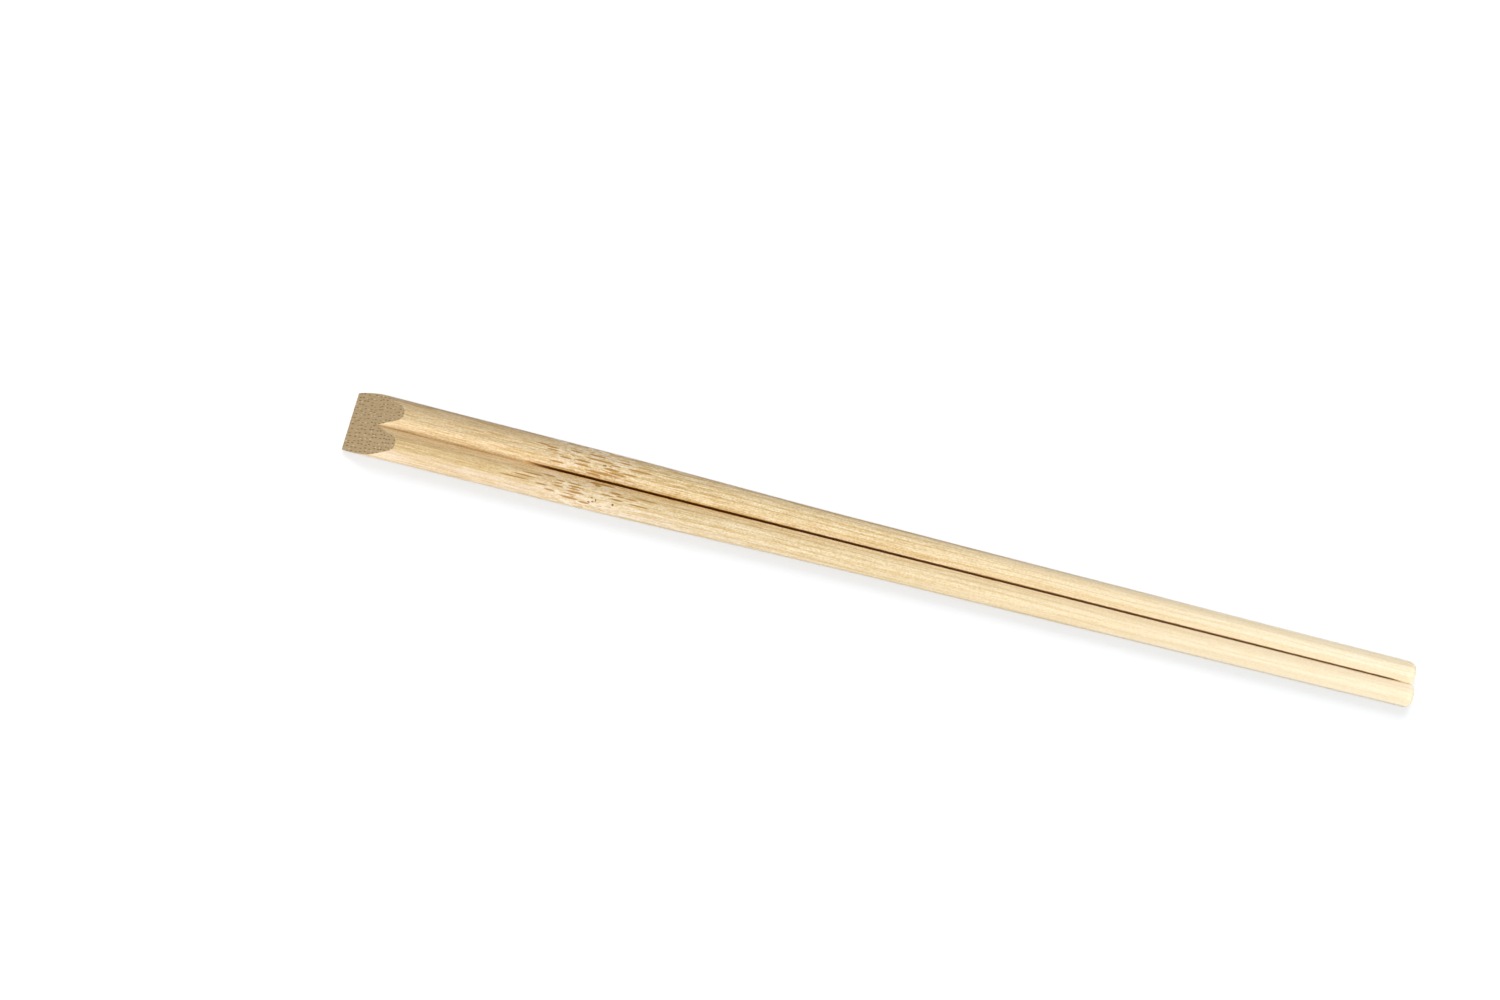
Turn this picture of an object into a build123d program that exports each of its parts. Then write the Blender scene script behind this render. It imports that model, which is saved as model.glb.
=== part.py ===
from build123d import *
import math
import os

# A pair of disposable bamboo chopsticks that are still joined at the head. The pair lies flat, head at -X
# and tips at +X, with its planed underside on z = 0. Sizes are in millimetres.

# Lengths along the pair, measured from the head
length = 230.0
tip_lag = 0.5
shoulder_start = 45.0
shoulder_end = 115.0
joined_length = 40.0

# Outline from above: a nearly parallel grip runs through a soft shoulder into a slimmer blade
head_width = 13.88
grip_taper = 0.0103
tip_width = 9.69
blade_taper = 0.0151
shoulder_steps = 10

# Section: two rods side by side, each with a flat top between two bevels. The inner bevels meet in
# a V-groove, and the bevels that face +Y are the wider ones. A bevel's depth is a share of the thickness
# and its width a share of one rod's width
head_thickness = 5.1
tip_thickness = 4.1
bevel_depth_share = 0.385
near_bevel_share = 0.274
far_bevel_share = 0.346
crest_rounding_head = 1.9
crest_rounding_tip = 1.3
edge_rounding_share = 0.15
web_overlap = 0.14

# Flat underside, with a shallow groove that opens as the inner corners grow rounder towards the tips
outer_corner = 1.95
inner_corner_head = 0.45
inner_corner_tip = 2.0
planing_allowance = 0.05

# Rounded tips, a little less so beside the kerf
tip_rounding = 1.6
kerf_side_share = 0.8
tip_steps = 7

# Saw kerf that parts the two sticks, wider at its root and drifting a little off centre at the tips
kerf_root_width = 0.6
kerf_tip_width = 0.36
kerf_drift = 0.15
saw_radius = 45.0
saw_overcut = 0.5

# Sloped cut at the head, which leaves a thin blunt end below it
blunt_height = 0.9
slope_length = 11.3

head_x = -length / 2
tip_x = length / 2
reach_out = 5.0


def thickness(run):
    return head_thickness + (tip_thickness - head_thickness) * run / length


def pair_width(run):
    grip = head_width - grip_taper * run
    blade = tip_width + blade_taper * (length - run)
    part_way = (run - shoulder_start) / (shoulder_end - shoulder_start)
    part_way = min(max(part_way, 0.0), 1.0)
    blend = part_way * part_way * (3 - 2 * part_way)
    return grip * (1 - blend) + blade * blend


def rod_section(side, run, inset):
    # The section of one rod, drawn in by the inset where a tip is rounded
    rod_width = pair_width(run) / 2
    top = thickness(run)
    middle = top / 2
    bevel_foot = top * (1 - bevel_depth_share)
    inner_share, outer_share = near_bevel_share, far_bevel_share
    if side < 0:
        inner_share, outer_share = outer_share, inner_share
    inner_bevel = inner_share * rod_width
    outer_bevel = outer_share * rod_width
    web_foot = bevel_foot - web_overlap * (top - bevel_foot) / inner_bevel
    inner_corner = inner_corner_head + (inner_corner_tip - inner_corner_head) * run / length
    crest_rounding = crest_rounding_head + (crest_rounding_tip - crest_rounding_head) * run / length

    inner_edge = kerf_side_share * inset - web_overlap
    narrowing = (rod_width - inset - inner_edge) / (rod_width + web_overlap)
    lowering = 1 - inset / middle
    corner_height = (middle + planing_allowance) * lowering

    def place(across, height):
        return side * (inner_edge + (across + web_overlap) * narrowing), middle + (height - middle) * lowering

    with BuildSketch(Plane.YZ.offset(head_x + run)) as section:
        with BuildLine():
            Polyline(
                place(-web_overlap, middle),
                place(-web_overlap, web_foot),
                place(inner_bevel, top),
                place(rod_width - outer_bevel, top),
                place(rod_width, bevel_foot),
                place(rod_width, middle),
            )
            EllipticalCenterArc(
                place(rod_width - outer_corner, middle),
                outer_corner * narrowing,
                corner_height,
                start_angle=270 if side > 0 else 180,
                arc_size=90,
            )
            Line(
                place(rod_width - outer_corner, -planing_allowance),
                place(inner_corner - web_overlap, -planing_allowance),
            )
            EllipticalCenterArc(
                place(inner_corner - web_overlap, middle),
                inner_corner * narrowing,
                corner_height,
                start_angle=180 if side > 0 else 270,
                arc_size=90,
            )
        make_face()
        fillet(section.vertices().sort_by(Axis.Y)[-3], edge_rounding_share * top * lowering)
        fillet(section.vertices().sort_by(Axis.Y)[-2:], crest_rounding * lowering)
    return section.sketch


def make_rod(side, rod_length):
    # Grip and blade are straight tapers, so only the shoulder between them takes sections close together
    step_length = (shoulder_end - shoulder_start) / shoulder_steps
    sections = [rod_section(side, 0, 0)]
    for step in range(shoulder_steps + 1):
        sections.append(rod_section(side, shoulder_start + step_length * step, 0))
    for step in range(tip_steps + 1):
        turn = math.pi / 2 * step / tip_steps
        back = tip_rounding * (1 - math.sin(turn))
        sections.append(rod_section(side, rod_length - back, tip_rounding * (1 - math.cos(turn))))
    with BuildPart() as rod:
        loft(sections, ruled=True)
    return rod.part


# The saw stops short of the head, so the kerf ends in the curve of its disc
web_middle = thickness(joined_length) / 2
saw_height = saw_radius - saw_overcut
saw_x = head_x + joined_length + math.sqrt(saw_radius**2 - (saw_height - web_middle) ** 2)
kerf_root_x = saw_x - saw_radius
kerf_end_x = tip_x + reach_out

with BuildPart() as kerf:
    with BuildSketch(Plane.XY.offset(-reach_out)):
        with BuildLine():
            Polyline(
                (kerf_root_x, -kerf_root_width / 2),
                (kerf_end_x, kerf_drift - kerf_tip_width / 2),
                (kerf_end_x, kerf_drift + kerf_tip_width / 2),
                (kerf_root_x, kerf_root_width / 2),
                close=True,
            )
        make_face()
    extrude(amount=head_thickness + 2 * reach_out)
    with BuildSketch(Plane.XZ):
        with Locations((saw_x, saw_height)):
            Circle(saw_radius)
            Rectangle(length, 2 * saw_radius, align=(Align.MIN, Align.CENTER))
    extrude(amount=head_width, both=True, mode=Mode.INTERSECT)

with BuildPart() as pair:
    # Two rods, the near one slightly the longer
    add(make_rod(-1, length))
    add(make_rod(1, length - tip_lag))

    # Planed underside
    split(bisect_by=Plane.XY, keep=Keep.TOP)

    # Kerf from the tips to the joined head
    add(kerf.part, mode=Mode.SUBTRACT)

    # Sloped cut across both sticks at the head
    rise = thickness(slope_length) - blunt_height
    along = (slope_length, 0, rise)
    away = (-rise, 0, slope_length)
    head_cut = Plane(origin=(head_x, 0, blunt_height), x_dir=along, z_dir=away)
    split(bisect_by=head_cut, keep=Keep.BOTTOM)

pair.part.label = "chopstick_pair"
os.makedirs("parts", exist_ok=True)
export_step(pair.part, "parts/chopstick_pair.step")
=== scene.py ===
import math

import bmesh
import bpy
import numpy as np
from mathutils import Matrix, Vector


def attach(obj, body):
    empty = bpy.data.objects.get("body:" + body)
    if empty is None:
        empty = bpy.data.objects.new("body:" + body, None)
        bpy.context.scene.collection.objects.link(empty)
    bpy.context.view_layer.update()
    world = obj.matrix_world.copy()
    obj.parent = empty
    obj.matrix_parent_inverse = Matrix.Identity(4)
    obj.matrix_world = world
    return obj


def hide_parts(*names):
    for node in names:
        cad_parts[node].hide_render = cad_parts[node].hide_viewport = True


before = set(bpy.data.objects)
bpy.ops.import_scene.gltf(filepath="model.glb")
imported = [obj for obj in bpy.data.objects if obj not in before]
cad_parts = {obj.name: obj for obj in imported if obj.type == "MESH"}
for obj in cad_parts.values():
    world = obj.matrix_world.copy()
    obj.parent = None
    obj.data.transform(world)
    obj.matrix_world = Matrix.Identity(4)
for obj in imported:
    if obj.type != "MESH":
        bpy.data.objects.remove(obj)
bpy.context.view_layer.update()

MM = 0.001
TINY = 1e-6

# A pair of bamboo chopsticks, still joined at the head. The head is at -X, the tips are at +X and the near
# stick is at -Y. Sizes are in millimetres, the same as those of the solid

# Lengths along the pair, measured from the head
length = 230.0
tip_lag = 0.5
shoulder_start = 45.0
shoulder_end = 115.0
joined_length = 40.0

# Outline from above
head_width = 13.88
grip_taper = 0.0103
tip_width = 9.69
blade_taper = 0.0151

# Section of the two rods: flat tops between bevels, and a flat underside with a shallow groove
head_thickness = 5.1
tip_thickness = 4.1
bevel_depth_share = 0.385
near_bevel_share = 0.274
far_bevel_share = 0.346
crest_rounding_head = 1.9
crest_rounding_tip = 1.3
edge_rounding_share = 0.15
web_overlap = 0.14
outer_corner = 1.95
inner_corner_head = 0.45
inner_corner_tip = 2.0
planing_allowance = 0.05

# Rounded tips, a little less so beside the kerf
tip_rounding = 1.6
kerf_side_share = 0.8

# Saw kerf
kerf_root_width = 0.6
kerf_tip_width = 0.36
kerf_drift = 0.15
saw_radius = 45.0
saw_overcut = 0.5
reach_out = 5.0

# Sloped cut at the head
blunt_height = 0.9
slope_length = 11.3

# Ripples in the kerf's walls: depth, turn for each millimetre, and phase by the side
RIPPLES = ((0.009, 1.9, 1), (0.007, 4.3, 2))

# The sticks lean together: the kerf narrows a little from lean_start and nearly closes from touch_start
lean_start = 170.0
lean_length = 50.0
lean_share = 0.22
touch_start = 224.0
touch_length = 4.2
touch_share = 0.95

# Long waves that planing and sanding leave in the skin: strength, turn for each millimetre, phase by the
# side, turn with the slope of the skin, and start
WAVES = ((1.0, 0.115, 1.7, 1.3, 0.0), (0.7, 0.231, -1.7, 2.0, 1.0), (0.5, 0.052, 5.1, -1.0, 0.0))
wave_depth = 0.012
wave_fade = 0.6

# How finely the outlines are drawn, and how far inside the crests the flat top begins, as a share of the
# crests' rounding
arc_points = 9
corner_points = 60
skin_segments = 400
flat_margin = 0.4

# Segments of each part of a rod's outline, from the underside's groove round to the kerf
PARTS = {
    "inner_low": 5,
    "sole": 4,
    "outer_low": 10,
    "outer_top": 28,
    "lid": 12,
    "inner_top": 24,
    "wall": 6,
    "kerf_floor": 2,
    "groove_rest": 2,
}

# Stretches between the head and the tips' rounding: start, and number of outlines. They lie closest together
# on the sloped cut and where the kerf begins
STRETCHES = ((0.0, 57), (slope_length, 47), (36.4, 48), (48.4, 289), (222.0, 11))
tip_outlines = 15

# Kinds of surface, in the order of the materials
LONG, END, SAWN = range(3)

# Closing the mesh: distances in metres, the most sides of a crack, and the angle of a sharp edge
weld_distance = 2e-6
sliver = 1e-7
crack_sides = 8
sharp_angle = math.radians(34)

head_x = -length / 2
tip_x = length / 2


def thickness(run):
    return head_thickness + (tip_thickness - head_thickness) * run / length


def smooth(part_way):
    """A soft step from 0 to 1."""
    part_way = min(max(part_way, 0.0), 1.0)
    return part_way * part_way * (3 - 2 * part_way)


def pair_width(run):
    grip = head_width - grip_taper * run
    blade = tip_width + blade_taper * (length - run)
    blend = smooth((run - shoulder_start) / (shoulder_end - shoulder_start))
    return grip * (1 - blend) + blade * blend


# Where the saw ran, and how steep the sloped cut is
web_middle = thickness(joined_length) / 2
saw_height = saw_radius - saw_overcut
saw_x = head_x + joined_length + math.sqrt(saw_radius**2 - (saw_height - web_middle) ** 2)
kerf_root_x = saw_x - saw_radius
kerf_end_x = tip_x + reach_out
cut_slope = (thickness(slope_length) - blunt_height) / slope_length


def saw_floor(run):
    """Height of the kerf's floor, which rises towards the head in the curve of the saw disc."""
    ahead = saw_x - (head_x + run)
    if ahead <= 0:
        return -saw_overcut
    if ahead >= saw_radius:
        return saw_height
    return saw_height - math.sqrt(saw_radius**2 - ahead**2)


def kerf_wall(run, side):
    """Distance of a kerf wall from the middle plane."""
    part_way = (head_x + run - kerf_root_x) / (kerf_end_x - kerf_root_x)
    half = (kerf_root_width + (kerf_tip_width - kerf_root_width) * part_way) / 2
    for depth, rate, phase in RIPPLES:
        half += depth * math.sin(run * rate + phase * side)
    half *= 1 - lean_share * smooth((run - lean_start) / lean_length)
    half *= 1 - touch_share * smooth((run - touch_start) / touch_length)
    return half + side * kerf_drift * part_way


def worn(points, run, side):
    """A line of a rod's skin, drawn a little inward in long waves that fade out at the middle plane."""
    along = np.gradient(points, axis=0)
    along /= np.linalg.norm(along, axis=1)[:, None]
    inward = np.stack([-along[:, 1], along[:, 0]], 1)
    turn = np.unwrap(np.arctan2(along[:, 1], along[:, 0]))
    depth = np.zeros(len(points))
    for strength, rate, side_phase, turn_rate, start in WAVES:
        depth += strength * (1 + np.sin(run * rate + side_phase * side + turn_rate * turn + start))
    depth *= wave_depth * np.clip(points[:, 0] / wave_fade, 0, 1)
    return points + inward * depth[:, None]


def rounded(points, radii):
    """A line of points with its corners rounded, each to its radius."""
    line = [points[0]]
    for before, corner, after, radius in zip(points, points[1:], points[2:], radii):
        to_before = (before - corner) / np.linalg.norm(before - corner)
        to_after = (after - corner) / np.linalg.norm(after - corner)
        half = math.acos(np.clip(to_before @ to_after, -1, 1)) / 2
        middle_way = (to_before + to_after) / np.linalg.norm(to_before + to_after)
        centre = corner + middle_way * radius / math.sin(half)
        first = corner + to_before * radius / math.tan(half) - centre
        last = corner + to_after * radius / math.tan(half) - centre
        for share in np.linspace(0, 1, arc_points):
            spoke = first * (1 - share) + last * share
            line.append(centre + spoke * radius / np.linalg.norm(spoke))
    line.append(points[-1])
    return np.array(line)


def resample(points, count):
    """count + 1 points, evenly spread along a line of points."""
    points = np.asarray(points, float)
    gaps = np.hypot(*np.diff(points, axis=0).T)
    along = np.concatenate([[0.0], np.cumsum(gaps)])
    if along[-1] < TINY:
        return np.repeat(points[:1], count + 1, axis=0)
    at = np.linspace(0, along[-1], count + 1)
    return np.stack([np.interp(at, along, points[:, 0]), np.interp(at, along, points[:, 1])], 1)


def rising(values):
    """The values, with each one that falls held at the highest before it."""
    return np.maximum.accumulate(values)


def keep_from(points, values, limit):
    """The part of a line where its rising values are at least limit."""
    if values[0] >= limit:
        return points
    if values[-1] <= limit:
        return points[-1:]
    start = [np.interp(limit, values, points[:, 0]), np.interp(limit, values, points[:, 1])]
    return np.vstack([start, points[values > limit]])


def keep_to(points, values, limit):
    """The part of a line where its rising values are at most limit."""
    if values[-1] <= limit:
        return points
    if values[0] >= limit:
        return points[:1]
    end = [np.interp(limit, values, points[:, 0]), np.interp(limit, values, points[:, 1])]
    return np.vstack([points[values < limit], end])


def section(run, side, rod_length):
    """A rod's section before the cuts, as points of distance from the middle plane and height.

    The four lines are the lower inner corner, and the skin below the waist, up to the flat top and past it.
    """
    rod_width = pair_width(run) / 2
    top = thickness(run)
    middle = top / 2
    bevel_foot = top * (1 - bevel_depth_share)
    inner_share, outer_share = near_bevel_share, far_bevel_share
    if side < 0:
        inner_share, outer_share = outer_share, inner_share
    inner_bevel = inner_share * rod_width
    outer_bevel = outer_share * rod_width
    web_foot = bevel_foot - web_overlap * (top - bevel_foot) / inner_bevel
    inner_corner = inner_corner_head + (inner_corner_tip - inner_corner_head) * run / length
    crest_rounding = crest_rounding_head + (crest_rounding_tip - crest_rounding_head) * run / length

    # The section draws in where the tip is rounded
    into_tip = max(tip_rounding - (rod_length - run), 0.0)
    inset = tip_rounding - math.sqrt(max(tip_rounding**2 - into_tip**2, 0.0))
    inner_edge = kerf_side_share * inset - web_overlap
    narrowing = (rod_width - inset - inner_edge) / (rod_width + web_overlap)
    lowering = 1 - inset / middle

    def place(across, height):
        return np.array([
            inner_edge + (across + web_overlap) * narrowing,
            middle + (height - middle) * lowering,
        ])

    def low_corner(centre, width, first, last):
        angles = np.radians(np.linspace(first, last, corner_points))
        across = width * narrowing * np.cos(angles)
        height = (middle + planing_allowance) * lowering * np.sin(angles)
        return np.stack([across, height], 1) + place(centre, middle)

    inner_low = low_corner(inner_corner - web_overlap, inner_corner, -180, -90)
    outer_low = low_corner(rod_width - outer_corner, outer_corner, -90, 0)
    edge = edge_rounding_share * top * lowering
    crest = crest_rounding * lowering
    corners = [
        place(rod_width, middle),
        place(rod_width, bevel_foot),
        place(rod_width - outer_bevel, top),
        place(inner_bevel, top),
        place(-web_overlap, web_foot),
    ]
    upper = rounded(corners, (edge, crest, crest))
    skin_line = worn(resample(np.vstack([outer_low, upper[1:]]), skin_segments), run, side)

    # The skin is parted at the waist and at both ends of the flat top
    waist = np.argmax(skin_line[:, 1] > middle)
    flat_start = place(rod_width - outer_bevel, top)[0] - flat_margin * crest
    flat_end = place(inner_bevel, top)[0] + flat_margin * crest
    first = waist + np.argmax(skin_line[waist:, 0] < flat_start)
    last = waist + np.argmax(skin_line[waist:, 0] < flat_end)
    return inner_low, skin_line[:waist + 1], skin_line[waist:first + 1], skin_line[last:]


def ring(low, outer_low, outer_top, inner_top, wall, kerf_floor, rest):
    """An outline's points, in the order of its parts and with their numbers of segments."""
    sole = np.vstack([low[-1], outer_low[0]])
    lid = np.vstack([outer_top[-1], inner_top[0]])
    lines = [low, sole, outer_low, outer_top, lid, inner_top, wall, kerf_floor, rest]
    parts = [resample(line, count) for line, count in zip(lines, PARTS.values())]
    return np.vstack([parts[0]] + [part[1:] for part in parts[1:]])


def outline(run, side, rod_length):
    """A rod's outline at one place, once it is planed, cut and sawn."""
    inner_low, outer_low, outer_top, inner_top = section(run, side, rod_length)

    # Planed underside and sloped cut
    top = min(thickness(run), blunt_height + cut_slope * run)
    inner_low = keep_to(inner_low, -inner_low[:, 1], 0.0)
    outer_low = keep_from(outer_low, outer_low[:, 1], 0.0)
    outer_low = keep_to(outer_low, rising(outer_low[:, 1]), top)
    outer_top = keep_to(outer_top, rising(outer_top[:, 1]), top)
    if outer_top[0, 1] > top:
        outer_top = outer_low[-1:]
    if inner_top[-1, 1] > top:
        inner_top = np.array([[0.0, top]])
    inner_top = keep_from(inner_top, rising(-inner_top[:, 1]), -top)

    # The rod ends at the middle plane, or at the kerf's wall once the saw is through
    wall = kerf_wall(run, side)
    saw = saw_floor(run)
    inward = rising(-inner_top[:, 0])
    outward = rising(inner_low[:, 0])
    to_middle = keep_to(inner_top, inward, 0.0)
    to_wall = keep_to(inner_top, inward, -wall)
    low_to_middle = keep_from(inner_low, outward, 0.0)
    low_to_wall = keep_from(inner_low, outward, wall)
    if to_middle[-1, 0] > TINY and to_middle[-1, 1] >= top - TINY:
        to_middle = np.vstack([to_middle, [0.0, top]])
    if saw >= to_wall[-1, 1]:
        end = to_middle[-1:]
        return ring(low_to_middle, outer_low, outer_top, to_middle, end, end, end)

    # Below the kerf's floor the groove, the web or the lower corner goes on
    wall_top = to_wall[-1]
    wall_foot = np.array([wall_top[0], max(saw, low_to_wall[0, 1])])
    low = low_to_middle
    if saw >= to_middle[-1, 1]:
        rest = keep_from(to_middle, rising(-to_middle[:, 1]), -saw)
    elif saw > low_to_middle[0, 1]:
        rest = np.array([[0.0, saw]])
    elif saw > low_to_wall[0, 1]:
        low = keep_from(low_to_middle, -low_to_middle[:, 1], -saw)
        rest = low[:1]
    else:
        low = low_to_wall
        rest = low[:1]
    wall_line = np.vstack([wall_top, wall_foot])
    kerf_floor = np.vstack([wall_foot, rest[0]])
    return ring(low, outer_low, outer_top, to_wall, wall_line, kerf_floor, rest)


def stations(rod_length):
    """Distances from the head at which a rod's outline is drawn."""
    tip_start = rod_length - tip_rounding
    ends = [start for start, count in STRETCHES[1:]] + [tip_start]
    runs = []
    for (start, count), end in zip(STRETCHES, ends):
        runs.append(np.linspace(start, end, count, endpoint=False))
    swing = np.linspace(0, math.pi / 2, tip_outlines)
    runs.append(tip_start + tip_rounding * np.sin(swing))
    return np.concatenate(runs)


def part_segments(first, last):
    """The segments of an outline from one of its parts to another."""
    names = list(PARTS)
    counts = list(PARTS.values())
    return range(sum(counts[:names.index(first)]), sum(counts[:names.index(last) + 1]))


def rod_mesh(side, rod_length, first):
    """Points, faces and kinds of surface of one rod, with its points numbered from first."""
    lid = part_segments("lid", "lid")
    kerf = part_segments("wall", "kerf_floor")
    segments = sum(PARTS.values())
    row = segments + 1
    runs = stations(rod_length)
    points, faces, kinds = [], [], []
    for run in runs:
        for across, height in outline(run, side, rod_length):
            points.append(((head_x + run) * MM, side * across * MM, height * MM))
    for station, next_run in enumerate(runs[1:]):
        for segment in range(segments):
            corner = first + station * row + segment
            faces.append((corner, corner + 1, corner + row + 1, corner + row))
            kind = LONG
            if segment in kerf:
                kind = SAWN
            elif segment in lid and next_run <= slope_length:
                kind = END
            kinds.append(kind)

    # Blunt end at the head and flat end at the tip
    last = first + (len(runs) - 1) * row
    faces.append(tuple(reversed(range(first, first + row))))
    faces.append(tuple(range(last, last + row)))
    kinds += [END, LONG]
    if side > 0:
        faces = [face[::-1] for face in faces]
    return points, faces, kinds


def close_mesh(mesh):
    """Joins the rods where they meet, closes hairline cracks and marks the sharp edges."""
    bm = bmesh.new()
    bm.from_mesh(mesh)
    bmesh.ops.remove_doubles(bm, verts=bm.verts, dist=weld_distance)
    bmesh.ops.dissolve_degenerate(bm, dist=sliver, edges=bm.edges)
    cracks = [edge for edge in bm.edges if edge.is_boundary]
    bmesh.ops.holes_fill(bm, edges=cracks, sides=crack_sides)
    bmesh.ops.recalc_face_normals(bm, faces=bm.faces)
    for edge in bm.edges:
        kinds = {face.material_index for face in edge.link_faces}
        edge.smooth = len(kinds) == 1 and edge.calc_face_angle(0) < sharp_angle
    bm.to_mesh(mesh)
    bm.free()
    mesh.polygons.foreach_set("use_smooth", [True] * len(mesh.polygons))


def build_pair():
    points, faces, kinds = [], [], []
    for side, rod_length in ((-1, length), (1, length - tip_lag)):
        rod_points, rod_faces, rod_kinds = rod_mesh(side, rod_length, len(points))
        points += rod_points
        faces += rod_faces
        kinds += rod_kinds
    mesh = bpy.data.meshes.new("chopsticks")
    mesh.from_pydata(points, [], faces)
    mesh.polygons.foreach_set("material_index", kinds)
    close_mesh(mesh)
    piece = bpy.data.objects.new("chopsticks", mesh)
    bpy.context.scene.collection.objects.link(piece)
    return piece


class Nodes:
    """Adds nodes to a material or world and links them."""

    def __init__(self, owner):
        owner.use_nodes = True
        self.tree = owner.node_tree
        self.tree.nodes.clear()

    def add(self, kind, inputs=None, **settings):
        node = self.tree.nodes.new(kind)
        for name, value in settings.items():
            setattr(node, name, value)
        for name, value in (inputs or {}).items():
            self.put(node.inputs[name], value)
        return node

    def put(self, socket, value):
        if isinstance(value, bpy.types.NodeSocket):
            self.tree.links.new(value, socket)
        else:
            socket.default_value = value

    def math(self, operation, *values):
        node = self.add("ShaderNodeMath", operation=operation)
        for socket, value in zip(node.inputs, values):
            self.put(socket, value)
        return node.outputs[0]

    def times(self, *values):
        product = values[0]
        for value in values[1:]:
            product = self.math("MULTIPLY", product, value)
        return product

    def most(self, *values):
        largest = values[0]
        for value in values[1:]:
            largest = self.math("MAXIMUM", largest, value)
        return largest

    def vector(self, operation, first, second):
        node = self.add("ShaderNodeVectorMath", operation=operation)
        self.put(node.inputs[0], first)
        self.put(node.inputs["Scale" if operation == "SCALE" else 1], second)
        return node.outputs[0]

    def step(self, value, low, high, to_low=0.0, to_high=1.0):
        """A soft step from to_low to to_high while the value goes from low to high."""
        node = self.add("ShaderNodeMapRange", interpolation_type="SMOOTHSTEP")
        for socket, given in zip(node.inputs, (value, low, high, to_low, to_high)):
            self.put(socket, given)
        return node.outputs[0]

    def mix(self, share, first, second, blend="MIX"):
        node = self.add("ShaderNodeMix", data_type="RGBA", blend_type=blend)
        sockets = (node.inputs["Factor"], node.inputs[6], node.inputs[7])
        for socket, given in zip(sockets, (share, first, second)):
            self.put(socket, (*given, 1.0) if isinstance(given, tuple) else given)
        return node.outputs[2]

    def tint(self, share, colour, factor):
        return self.mix(share, colour, factor, "MULTIPLY")

    def stretch(self, vector, scale):
        return self.add("ShaderNodeMapping", {"Vector": vector, "Scale": scale}).outputs[0]

    def noise(self, vector, detail=2.0, rough=0.5, out=0):
        inputs = {"Vector": vector, "Scale": 1.0, "Detail": detail, "Roughness": rough}
        return self.add("ShaderNodeTexNoise", inputs).outputs[out]

    def background_rays(self):
        """1 for the rays that show the background: the camera's, reflections and what passes through."""
        rays = self.add("ShaderNodeLightPath").outputs
        return self.most(rays["Is Camera Ray"], rays["Is Glossy Ray"], rays["Is Transmission Ray"])


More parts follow.
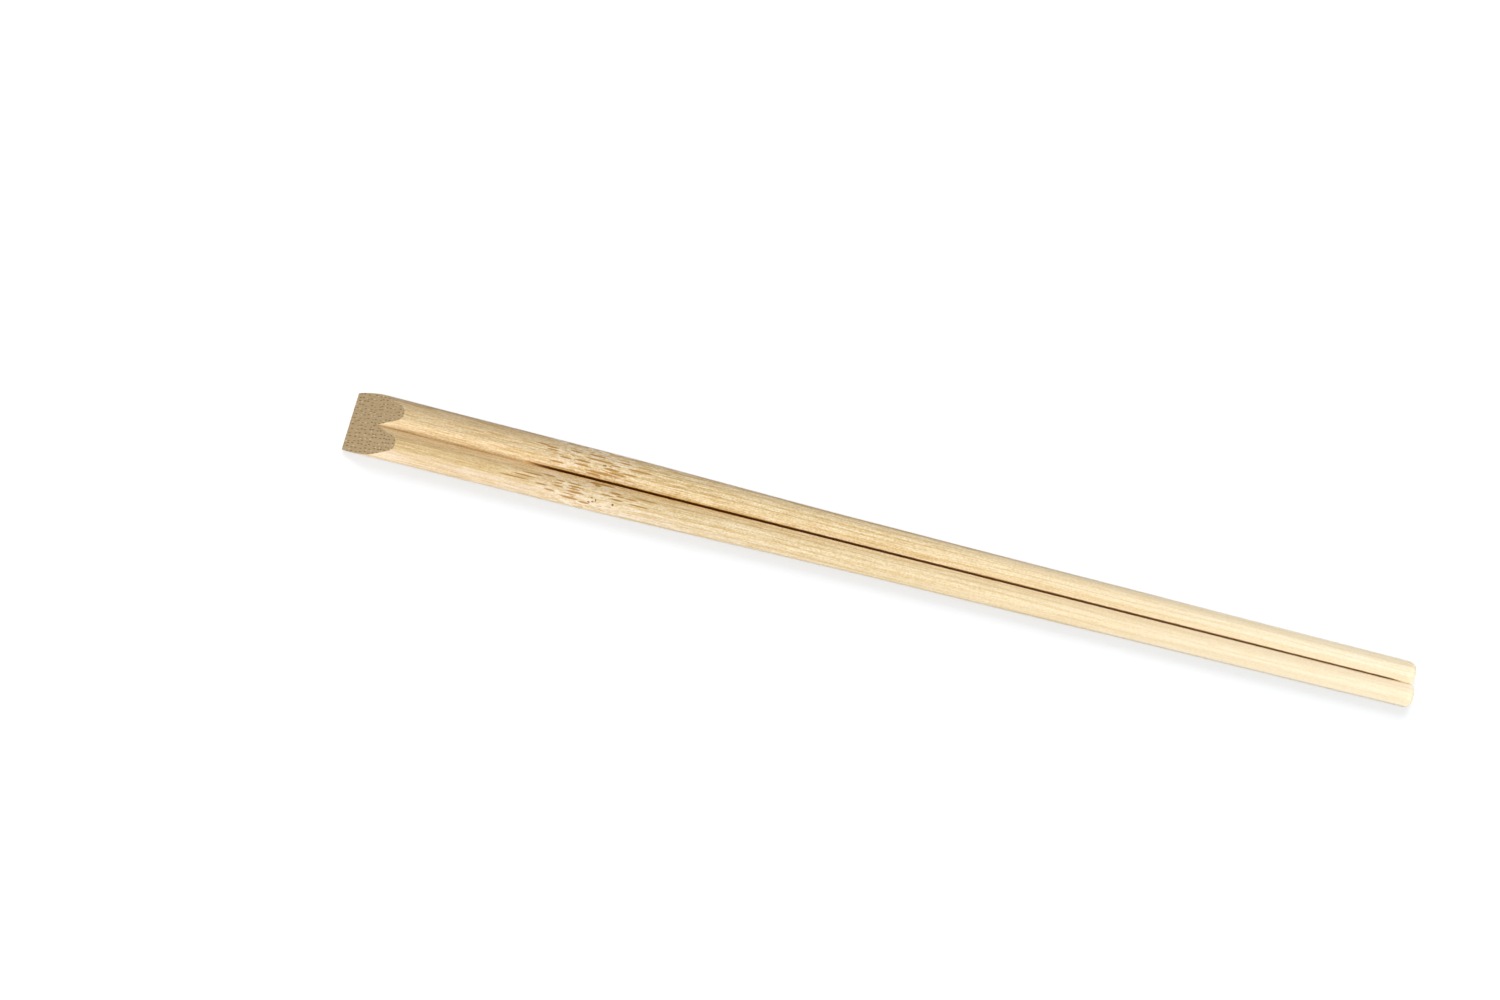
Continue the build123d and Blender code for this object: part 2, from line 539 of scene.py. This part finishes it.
class Bamboo(Nodes):
    """A bamboo material's places in millimetres, and the noises that its grain is made of."""

    def __init__(self, material):
        super().__init__(material)
        metres = self.add("ShaderNodeTexCoord").outputs["Object"]
        self.place = self.stretch(metres, (1 / MM, 1 / MM, 1 / MM))
        axes = self.add("ShaderNodeSeparateXYZ", {"Vector": self.place}).outputs
        self.run = self.math("ADD", axes[0], length / 2)
        self.across = axes[1]
        self.height = axes[2]

        # Fibres run nearly straight, but swirl at the knot of the cane
        self.knot = self.times(self.along(39.0, 48.0), self.along(67.0, 56.0))
        bend = self.sway((0.022, 0.12, 0.12), 1.3, 1.0)
        swirl = self.vector("SCALE", self.sway((0.3, 0.55, 0.55), 0.8, 2.0), self.knot)
        self.grain = self.vector("ADD", self.vector("ADD", self.place, bend), swirl)
        parted = self.add("ShaderNodeSeparateXYZ", {"Vector": self.grain}).outputs
        self.sideways = parted[1]
        self.crosswise = self.add("ShaderNodeCombineXYZ", {"X": parted[1], "Y": parted[2]}).outputs[0]

        # Fibre bundles, and the finer grain between them
        near, chance = self.cells(self.crosswise, 1.9, "2D")[:2]
        self.bundle = self.times(self.step(near, 0.34, 0.12), self.step(chance, 0.15, 0.85, 0.3, 1.0))
        self.streak = self.fibres(0.022, 3.4)
        self.dash = self.fibres(0.11, 3.7, 1.0)
        self.hair = self.fibres(0.30, 5.5, 2.0, 0.6)

    def along(self, start, end, low=0.0, high=1.0):
        """A soft step between two distances from the head."""
        return self.step(self.run, start, end, low, high)

    def aside(self, start, end, low=0.0, high=1.0):
        """A soft step between two places across the pair."""
        return self.step(self.across, start, end, low, high)

    def above(self, start, end):
        """A soft step between two heights."""
        return self.step(self.height, start, end)

    def sway(self, scale, amount, detail):
        """A soft random shift across the fibres, of up to about half the amount each way."""
        random = self.noise(self.stretch(self.place, scale), detail, out=1)
        centred = self.vector("SUBTRACT", random, (0.5, 0.5, 0.5))
        return self.vector("MULTIPLY", centred, (0, amount, amount))

    def fibres(self, along, across, detail=2.0, rough=0.5):
        """Noise that is drawn out along the grain, by its scale along and across it."""
        return self.noise(self.stretch(self.grain, (along, across, across)), detail, rough)

    def lines(self, rate, shift):
        """Waves across the grain, at a turn for each millimetre and shifted from place to place."""
        return self.math("SINE", self.math("ADD", self.times(self.sideways, rate), shift))

    def cells(self, vector, scale, dimensions):
        """Distance to the nearest cell's centre, and two random numbers of that cell."""
        inputs = {"Vector": vector, "Scale": scale, "Randomness": 0.9}
        node = self.add("ShaderNodeTexVoronoi", inputs, voronoi_dimensions=dimensions)
        lot = self.add("ShaderNodeSeparateColor", {"Color": node.outputs["Color"]}).outputs
        return node.outputs["Distance"], lot[0], lot[1]

    def dots(self, vector, squeeze):
        """Distance from the centre of a flat cell, squeezed, and a random number of that cell."""
        inputs = {"Vector": vector, "Scale": 1.0, "Randomness": 0.6}
        node = self.add("ShaderNodeTexVoronoi", inputs, voronoi_dimensions="2D")
        off = self.vector("MULTIPLY", self.vector("SUBTRACT", vector, node.outputs["Position"]), squeeze)
        away = self.add("ShaderNodeVectorMath", {0: off}, operation="LENGTH").outputs["Value"]
        lot = self.add("ShaderNodeSeparateColor", {"Color": node.outputs["Color"]}).outputs
        return away, lot[0]

    def ovals(self, spots, ragged, edge, core):
        """Spots on the upper side: 1 in the core of each, and fading out towards its edge."""
        shown = 0.0
        for along, aside, half_length, half_width in spots:
            off_along = self.math("DIVIDE", self.math("SUBTRACT", self.run, along), half_length)
            off_aside = self.math("DIVIDE", self.math("SUBTRACT", self.across, aside), half_width)
            off = self.math("ADD", self.times(off_along, off_along), self.times(off_aside, off_aside))
            shown = self.most(shown, self.step(self.times(off, ragged), edge, core))
        return self.times(shown, self.above(2.6, 3.2))


# Broken fibres and dark specks at the knot: distance from the head, place across, half length, half width
FLECKS = (
    (50.3, -2.50, 1.6, 0.15), (50.7, -3.08, 1.5, 0.14), (50.3, -3.66, 1.3, 0.12), (50.8, -4.25, 1.8, 0.19),
    (49.6, -4.85, 1.2, 0.10), (49.8, -5.5, 1.7, 0.16), (53.0, -5.7, 1.1, 0.14), (47.2, -2.55, 0.9, 0.14),
    (46.8, -3.15, 0.8, 0.13), (46.9, -3.80, 1.0, 0.15), (43.4, -4.3, 1.2, 0.15), (41.4, -2.5, 1.8, 0.15),
    (39.5, -3.3, 2.2, 0.14), (37.6, -4.1, 2.6, 0.13), (45.4, -5.0, 1.0, 0.15), (44.6, -1.9, 1.3, 0.15),
    (54.4, -1.0, 1.2, 0.26), (55.0, -1.5, 0.6, 0.2), (56.7, -0.9, 1.6, 0.2), (59.2, -2.4, 1.1, 0.22),
    (60.2, -2.85, 0.8, 0.15), (59.8, -3.7, 1.2, 0.19), (57.4, -3.2, 1.4, 0.14), (64.4, -3.9, 2.0, 0.13),
    (66.0, -2.3, 2.0, 0.13), (62.6, -2.9, 1.4, 0.13), (41.5, 4.4, 1.3, 0.14), (43.6, 4.15, 1.2, 0.16),
    (43.9, 3.6, 1.1, 0.15), (46.9, 2.6, 1.2, 0.16), (48.6, 4.5, 1.1, 0.15), (50.7, 2.8, 1.6, 0.20),
    (50.5, 1.95, 1.5, 0.18), (53.2, 4.7, 1.8, 0.18), (54.3, 3.75, 2.8, 0.2), (55.3, 1.3, 3.0, 0.17),
    (53.2, 0.85, 1.4, 0.14), (57.0, 2.4, 1.5, 0.23), (58.3, 1.75, 1.8, 0.17), (57.6, 3.4, 1.1, 0.15),
    (60.9, 2.25, 1.4, 0.17), (62.9, 3.5, 2.5, 0.19), (59.6, 4.5, 1.2, 0.15), (45.2, 1.4, 1.6, 0.13),
)
SPECKS = (
    (59.1, -4.85, 0.26, 0.24), (55.3, 2.95, 0.5, 0.15), (54.5, -4.5, 0.25, 0.12), (55.4, -4.8, 0.15, 0.3),
    (54.8, -5.2, 0.3, 0.12), (54.0, -5.4, 0.3, 0.12),
)

# Colours of the bamboo
head_colour = (0.81, 0.625, 0.375)
grip_colour = (0.84, 0.675, 0.415)
tip_colour = (0.775, 0.672, 0.487)
fuzz_colour = (0.94, 0.80, 0.61)
fleck_colour = (0.46, 0.235, 0.05)
speck_colour = (0.15, 0.08, 0.025)
cut_dark_colour = (0.512, 0.365, 0.193)
cut_light_colour = (0.564, 0.407, 0.221)
cut_bundle_colour = (0.20, 0.12, 0.045)
cut_pith_colour = (0.82, 0.67, 0.44)
# The kerf's colours are painted shade of the narrow slit, with painted light at its root and at the tips
kerf_grip_shade_colour = (0.44, 0.145, 0.004)
kerf_blade_shade_colour = (0.66, 0.42, 0.20)
kerf_fibre_colour = (0.20, 0.085, 0.012)
kerf_root_fresh_and_lit_colour = (0.80, 0.55, 0.25)
kerf_tip_lit_colour = (0.95, 0.76, 0.54)

# Tints, by which a colour is multiplied
band_tint = (1.0, 0.98, 0.94)
grain_tint = (0.80, 0.70, 0.50)
tick_tint = (0.84, 0.77, 0.62)
between_ticks_tint = (1.08, 1.11, 1.20)
between_stripes_tint = (1.05, 1.07, 1.12)
pore_tint = (0.88, 0.84, 0.76)
between_pores_tint = (1.09, 1.11, 1.15)
near_flat_tint = (1.03, 1.03, 0.96)
# The near bevel's tint is pale fuzz and painted sheen, the far edge's, the crease's and the rim's are
# painted shade, and the lip's and inner bevels' are painted light
near_bevel_fuzz_and_sheen_tint = (0.99, 1.03, 1.24)
far_edge_shade_tint = (0.68, 0.67, 0.70)
lit_lip_tint = (1.10, 1.14, 1.25)
near_inner_light_tint = (1.07, 1.08, 1.12)
far_inner_light_tint = (1.10, 1.12, 1.16)
crease_shade_tint = (0.78, 0.70, 0.58)
rim_shade_tint = (0.90, 0.78, 0.56)

# Gloss, and the depth of the fibres' relief in metres
skin_gloss = 0.45
kerf_gloss = 0.05
relief_depth = 0.00005


def cut_end(cane):
    """The sloped cut: dark ends of fibre bundles, drawn out along the slope, and paler pith between."""
    colour = cane.mix(cane.step(cane.streak, 0.3, 0.7), cut_dark_colour, cut_light_colour)
    away, chance = cane.dots(cane.stretch(cane.crosswise, (1.25, 2.9, 1.0)), (1.9, 0.9, 0.0))
    bundle = cane.times(cane.step(away, 0.36, 0.14), cane.step(chance, 0.1, 0.7, 0.6, 1.0))
    colour = cane.mix(bundle, colour, cut_bundle_colour)
    shifted = cane.vector("ADD", cane.crosswise, (5.35, 3.15, 0.0))
    away, chance = cane.dots(cane.stretch(shifted, (1.2, 2.8, 1.0)), (1.6, 1.0, 0.0))
    pith = cane.times(cane.step(away, 0.26, 0.10), cane.step(chance, 0.45, 0.8))
    return cane.mix(pith, colour, cut_pith_colour)


def sawn(cane):
    """The kerf's walls: dark brown as painted shade in the narrow slit, with darker fibre streaks, paler at
    the root (fresh-cut wood and painted light where it is shallow) and at the tips (painted light).
    """
    colour = cane.mix(cane.along(60.0, 215.0), kerf_grip_shade_colour, kerf_blade_shade_colour)
    colour = cane.mix(cane.times(cane.step(cane.hair, 0.4, 0.7), 0.5), colour, kerf_fibre_colour)
    colour = cane.mix(cane.along(47.0, 38.0), colour, kerf_root_fresh_and_lit_colour)
    return cane.mix(cane.along(223.5, 227.0), colour, kerf_tip_lit_colour)


def skin(cane):
    """The planed and sanded sides, which are palest at the tips and have soft bands along the fibres, with
    painted light and shade on some bevels and in the groove.
    """
    colour = cane.mix(cane.along(30.0, 60.0), head_colour, grip_colour)
    colour = cane.mix(cane.along(110.0, 225.0), colour, tip_colour)
    colour = cane.tint(cane.step(cane.fibres(0.010, 0.55), 0.3, 0.7), colour, band_tint)
    colour = with_grain(cane, colour)
    colour = with_tones_and_painted_light(cane, colour)
    colour = with_knot(cane, colour)
    return with_groove_shade(cane, colour)


def with_grain(cane, colour):
    """Grain, broken into dashes and ticks towards the head and running in long fine stripes further on."""
    tick = cane.fibres(0.26, 4.6, 1.0)
    breaks = cane.fibres(0.22, 1.6)
    pore = cane.noise(cane.stretch(cane.place, (1.9, 3.2, 3.2)), 1.0)

    # The grain shows most beyond the knot and fades towards the tips
    show = cane.times(
        cane.along(28.0, 60.0, 0.9, 1.2), cane.aside(-0.5, 0.5, 0.95, 1.15),
        cane.along(90.0, 195.0, 1.0, 0.3), cane.aside(-4.2, -5.2, 1.0, 0.75),
    )
    beyond = cane.along(45.0, 85.0)
    broken = cane.along(60.0, 110.0, 1.0, 0.4)

    # Dashes and bundles, long thin lines, stripes, and rows of dashes on the near stick towards the head
    bundles = cane.times(cane.bundle, cane.step(breaks, 0.45, 0.52))
    dashes = cane.most(cane.step(cane.dash, 0.52, 0.60), bundles)
    off_line = cane.math("ABSOLUTE", cane.math("SUBTRACT", cane.fibres(0.018, 1.5, 1.0), 0.5))
    line = cane.times(cane.step(off_line, 0.05, 0.012), cane.step(breaks, 0.40, 0.56))
    stripe = cane.step(cane.lines(5.8, cane.times(cane.fibres(0.012, 1.3, 1.0), 2.5)), 0.0, 0.9)
    stripe = cane.times(stripe, cane.step(cane.streak, 0.40, 0.55), cane.along(35.0, 60.0, 0.3, 1.0))
    row = cane.step(cane.lines(7.7, cane.times(breaks, 5.0)), 0.2, 0.9)
    row = cane.times(row, cane.step(cane.dash, 0.40, 0.52), cane.along(52.0, 36.0), cane.aside(-1.6, -2.2))
    dark = cane.most(cane.times(dashes, broken), cane.times(line, beyond), stripe, row)

    ticks = cane.times(cane.step(tick, 0.52, 0.60), show, broken, 0.7)
    between_ticks = cane.times(cane.step(tick, 0.46, 0.38), show, broken, 0.8)
    between_stripes = cane.times(cane.step(stripe, 0.3, 0.0), show, beyond, 0.8)
    pores = cane.times(cane.step(pore, 0.50, 0.66), show, 0.8)
    between_pores = cane.times(cane.step(pore, 0.48, 0.34), show, 0.8)
    colour = cane.tint(cane.times(dark, show, 0.7), colour, grain_tint)
    colour = cane.tint(ticks, colour, tick_tint)
    colour = cane.tint(between_ticks, colour, between_ticks_tint)
    colour = cane.tint(between_stripes, colour, between_stripes_tint)
    colour = cane.tint(pores, colour, pore_tint)
    return cane.tint(between_pores, colour, between_pores_tint)


def with_tones_and_painted_light(cane, colour):
    """Stretches of the skin that are yellower, paler or greyer than the rest: a yellower flat, pale fuzz,
    and painted sheen, light and shade.
    """
    # The near stick's flat is yellower towards the head. Its outer bevel is paler and bluer in blotches,
    # partly pale fuzz and partly painted sheen where it faces the light
    near_flat = cane.times(cane.along(48.0, 30.0), cane.aside(-1.6, -2.6), cane.aside(-5.4, -4.6))
    colour = cane.tint(near_flat, colour, near_flat_tint)
    near_bevel_fuzz_and_sheen = cane.times(
        cane.aside(-4.3, -5.3), cane.above(1.6, 2.8),
        cane.step(cane.dash, 0.56, 0.42, 0.1, 1.3), cane.along(110.0, 60.0, 0.3, 1.0),
    )
    colour = cane.tint(near_bevel_fuzz_and_sheen, colour, near_bevel_fuzz_and_sheen_tint)

    # Painted shade: the far stick's outer edge, which faces away from the light, is darker and greyer,
    # except towards the tips
    grip = cane.math("SUBTRACT", head_width, cane.times(cane.run, grip_taper))
    blade = cane.math("ADD", tip_width, cane.times(cane.math("SUBTRACT", length, cane.run), blade_taper))
    width = cane.step(cane.along(shoulder_start, shoulder_end), 0.0, 1.0, grip, blade)
    share_across = cane.math("DIVIDE", cane.across, width)
    far_edge_shade = cane.times(cane.step(share_across, 0.40, 0.485), cane.along(200.0, 150.0))
    colour = cane.tint(far_edge_shade, colour, far_edge_shade_tint)

    # Painted light: the near edge beside the cut is paler, and so are the groove's inner bevels, against the
    # shade that each stick throws on the other, the far one only towards the head
    lit_lip = cane.times(cane.aside(-5.4, -5.9), cane.along(18.0, 10.0))
    colour = cane.tint(lit_lip, colour, lit_lip_tint)
    near_inner_lit = cane.times(cane.aside(-2.2, -1.2), cane.aside(-0.1, -0.4))
    colour = cane.tint(near_inner_lit, colour, near_inner_light_tint)
    far_inner_lit = cane.times(cane.aside(2.4, 1.4), cane.aside(0.05, 0.35), cane.along(55.0, 35.0))
    return cane.tint(far_inner_lit, colour, far_inner_light_tint)


def with_knot(cane, colour):
    """The knot of the cane: fuzzy pale patches, broken fibres and dark specks."""
    fuzz = cane.step(cane.noise(cane.stretch(cane.place, (0.6, 1.6, 1.6)), 4.0, 0.75), 0.48, 0.58)
    colour = cane.mix(cane.times(fuzz, cane.knot, 0.8), colour, fuzz_colour)
    away, chance, other_chance = cane.cells(cane.stretch(cane.grain, (0.5, 2.4, 2.4)), 1.0, "3D")
    ragged = cane.step(cane.hair, 0.25, 0.65, 0.7, 1.2)
    fleck = cane.times(cane.step(away, 0.44, 0.24), cane.step(chance, 0.50, 0.8), cane.knot, 0.45)
    fleck = cane.most(fleck, cane.ovals(FLECKS, ragged, 1.9, 0.7))
    colour = cane.mix(cane.times(fleck, 0.95), colour, fleck_colour)
    speck = cane.times(cane.step(away, 0.16, 0.08), cane.step(other_chance, 0.92, 0.95), cane.knot)
    speck = cane.most(speck, cane.ovals(SPECKS, 1.0, 1.3, 0.6))
    return cane.mix(cane.times(speck, 0.9), colour, speck_colour)


def with_groove_shade(cane, colour):
    """Painted shade: the bottom of the groove is darker, and so are the rims where the kerf begins."""
    off_middle = cane.math("ABSOLUTE", cane.across)
    crease_shade = cane.times(
        cane.step(off_middle, 0.45, 0.05), cane.along(40.0, 34.0), cane.above(4.2, 3.4), 0.8,
    )
    colour = cane.tint(crease_shade, colour, crease_shade_tint)
    rim_shade = cane.times(
        cane.step(off_middle, 0.80, 0.35), cane.along(38.0, 44.0), cane.along(110.0, 70.0),
        cane.above(2.4, 2.8),
    )
    return cane.tint(rim_shade, colour, rim_shade_tint)


def bamboo(name, surface, gloss):
    """A bamboo material for one kind of surface, with a fine relief of fibres."""
    material = bpy.data.materials.new(name)
    cane = Bamboo(material)
    relief = cane.math("ADD", cane.times(cane.streak, 0.5), cane.times(cane.hair, 0.5))
    relief = cane.math("SUBTRACT", relief, cane.times(cane.bundle, 0.3))
    bump = cane.add("ShaderNodeBump", {"Strength": 0.5, "Distance": relief_depth, "Height": relief})
    shader = cane.add("ShaderNodeBsdfPrincipled", {
        "Base Color": surface(cane),
        "Roughness": cane.step(cane.streak, 0.2, 0.8, 0.50, 0.68),
        "Normal": bump.outputs[0],
        "Specular IOR Level": gloss,
    })
    cane.add("ShaderNodeOutputMaterial", {"Surface": shader.outputs[0]})
    return material


pair = build_pair()
pair.data.materials.append(bamboo("bamboo", skin, skin_gloss))
pair.data.materials.append(bamboo("bamboo_end", cut_end, skin_gloss))
pair.data.materials.append(bamboo("bamboo_kerf", sawn, kerf_gloss))
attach(pair, "root")
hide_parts("chopstick_pair")

# Floor, just below the pair. It looks brighter than the light that it throws back on the pair
floor_size = 4.0
floor_drop = 0.00005
floor_bounce = (0.25, 0.25, 0.25)
floor_tone = (0.494, 0.5, 0.507)
bpy.ops.mesh.primitive_plane_add(size=floor_size, location=(0, 0, -floor_drop))
floor = bpy.context.object
floor.name = "floor"
floor_material = bpy.data.materials.new("floor")
ground = Nodes(floor_material)
tone = ground.mix(ground.background_rays(), floor_bounce, floor_tone)
matt = ground.add("ShaderNodeBsdfDiffuse", {"Color": tone})
ground.add("ShaderNodeOutputMaterial", {"Surface": matt.outputs[0]})
floor.data.materials.append(floor_material)

# Camera, which looks down on the pair from the near side, a little from the right
azimuth = math.radians(14.625)
elevation = math.radians(73.378)
distance = 0.7451
target = Vector((-0.02849, 0.0042, 0.002))
level = math.cos(elevation)
back = Vector((math.sin(azimuth) * level, -math.cos(azimuth) * level, math.sin(elevation)))
right = Vector((math.cos(azimuth), math.sin(azimuth), 0))
up = back.cross(right)
lens = bpy.data.cameras.new("camera")
lens.lens = 85.0
lens.sensor_width = 36.0
lens.sensor_fit = "HORIZONTAL"
lens.clip_start = 0.01
camera = bpy.data.objects.new("camera", lens)
camera_turn = Matrix((right, up, back)).transposed().to_4x4()
camera.matrix_world = Matrix.Translation(target + back * distance) @ camera_turn
bpy.context.scene.collection.objects.link(camera)
bpy.context.scene.camera = camera


def receivers(name, item):
    group = bpy.data.collections.new(name)
    group.objects.link(item)
    return group


def lamp(name, kind, place, aim, power, size, lit):
    """A lamp that lights only one thing. Its size is a width in metres, or the angle of a sun."""
    data = bpy.data.lights.new(name, kind)
    data.energy = power
    if kind == "AREA":
        data.size = size
    else:
        data.angle = size
    item = bpy.data.objects.new(name, data)
    way = Vector(aim) - Vector(place)
    turn = way.to_track_quat("-Z", "Y").to_matrix().to_4x4()
    item.matrix_world = Matrix.Translation(place) @ turn
    bpy.context.scene.collection.objects.link(item)
    item.visible_camera = False
    item.light_linking.receiver_collection = lit


# Small soft lamps round the tips and beside the head, and two suns that light the floor and cast the shadow
on_pair = receivers("lit_pair", pair)
on_floor = receivers("lit_floor", floor)
middle_point = (0, 0, 0)
blade_point = (0.10, 0, 0.003)
lamp("over_tips", "AREA", (0.13, -0.02, 0.22), (0.07, 0, 0), 0.322, 0.16, on_pair)
lamp("near_tips", "AREA", (0.15, -0.13, 0.075), blade_point, 0.035, 0.08, on_pair)
lamp("far_tips", "AREA", (0.15, 0.13, 0.075), blade_point, 0.035, 0.08, on_pair)
lamp("beside_tips", "AREA", (0.22, -0.02, 0.03), (0.114, 0, 0.002), 0.035, 0.05, on_pair)
lamp("near_head", "AREA", (-0.108, -0.08, 0.045), (-0.10, 0, 0.003), 0.026, 0.05, on_pair)
lamp("floor_top", "SUN", back, middle_point, 3.78, math.radians(8), on_floor)
lamp("floor_far", "SUN", (-0.1, 0.55, 0.50), middle_point, 2.19, math.radians(50), on_floor)

# Light from all round, brighter from the near and far sides than from above, and most from the near side
sky_level = 0.512
sky_sides = 0.32
sky_near = 0.20
world = bpy.data.worlds.new("world")
bpy.context.scene.world = world
sky = Nodes(world)
towards = sky.add("ShaderNodeTexCoord").outputs["Generated"]
far_way = sky.add("ShaderNodeSeparateXYZ", {"Vector": towards}).outputs[1]
by_side = sky.times(far_way, sky.math("SUBTRACT", sky.times(far_way, sky_sides), sky_near))
ambient = sky.math("ADD", sky_level, by_side)
strength = sky.step(sky.background_rays(), 0.0, 1.0, ambient, 1.0)
background = sky.add("ShaderNodeBackground", {"Color": (1, 1, 1, 1), "Strength": strength})
sky.add("ShaderNodeOutputWorld", {"Surface": background.outputs[0]})

bpy.context.scene.view_settings.view_transform = "Standard"
